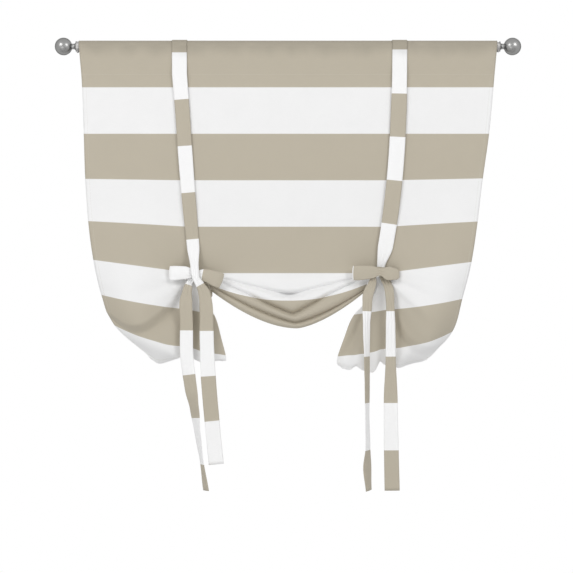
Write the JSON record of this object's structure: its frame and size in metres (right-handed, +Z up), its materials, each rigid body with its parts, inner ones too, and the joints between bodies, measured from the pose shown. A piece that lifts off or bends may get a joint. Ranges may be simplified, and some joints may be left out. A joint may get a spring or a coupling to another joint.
{
  "type": "tie-up balloon shade",
  "caption": "Striped cloth window shade gathered by bow ties into a centre swag and side balloons, hung by its rod pocket on a telescoping rod with ball finials.",
  "frame": {"origin": "middle of the four bracket screws, on the wall face", "axes": "+X along the rod to the right as seen from the room, +Y into the wall, +Z up; the shade faces -Y"},
  "size_m": [1.1902, 0.1436, 1.153],
  "materials": {
    "striped_cloth": "woven taupe and white stripes",
    "rod_metal": "pewter grey",
    "finial_metal": "satin pewter",
    "plug_plastic": "moulded grey"
  },
  "bodies": {
    "hung_shade": {"outer_rod_tube": "rod_metal", "left_end_plug": "plug_plastic", "left_bracket": "rod_metal", "right_bracket": "rod_metal", "shade_panel": "striped_cloth", "left_front_tie": "striped_cloth", "right_front_tie": "striped_cloth", "left_back_tie": "striped_cloth", "right_back_tie": "striped_cloth"},
    "sliding_rod": {"inner_rod_tube": "rod_metal", "right_end_plug": "plug_plastic"},
    "left_ball": {"left_finial": "finial_metal"},
    "right_ball": {"right_finial": "finial_metal"}
  },
  "joints": [
    {"name": "rod_extend", "type": "slide", "parent": "hung_shade", "child": "sliding_rod", "axis": [1, 0, 0], "range_m": [0, 0.25]},
    {"name": "left_finial_turn", "type": "hinge", "parent": "hung_shade", "child": "left_ball", "pos_m": [-0.54, -0.08, 0.025], "axis": [-1, 0, 0], "range_deg": [0, 1080]},
    {"name": "right_finial_turn", "type": "hinge", "parent": "sliding_rod", "child": "right_ball", "pos_m": [0.54, -0.08, 0.025], "axis": [1, 0, 0], "range_deg": [0, 1080]}
  ]
}
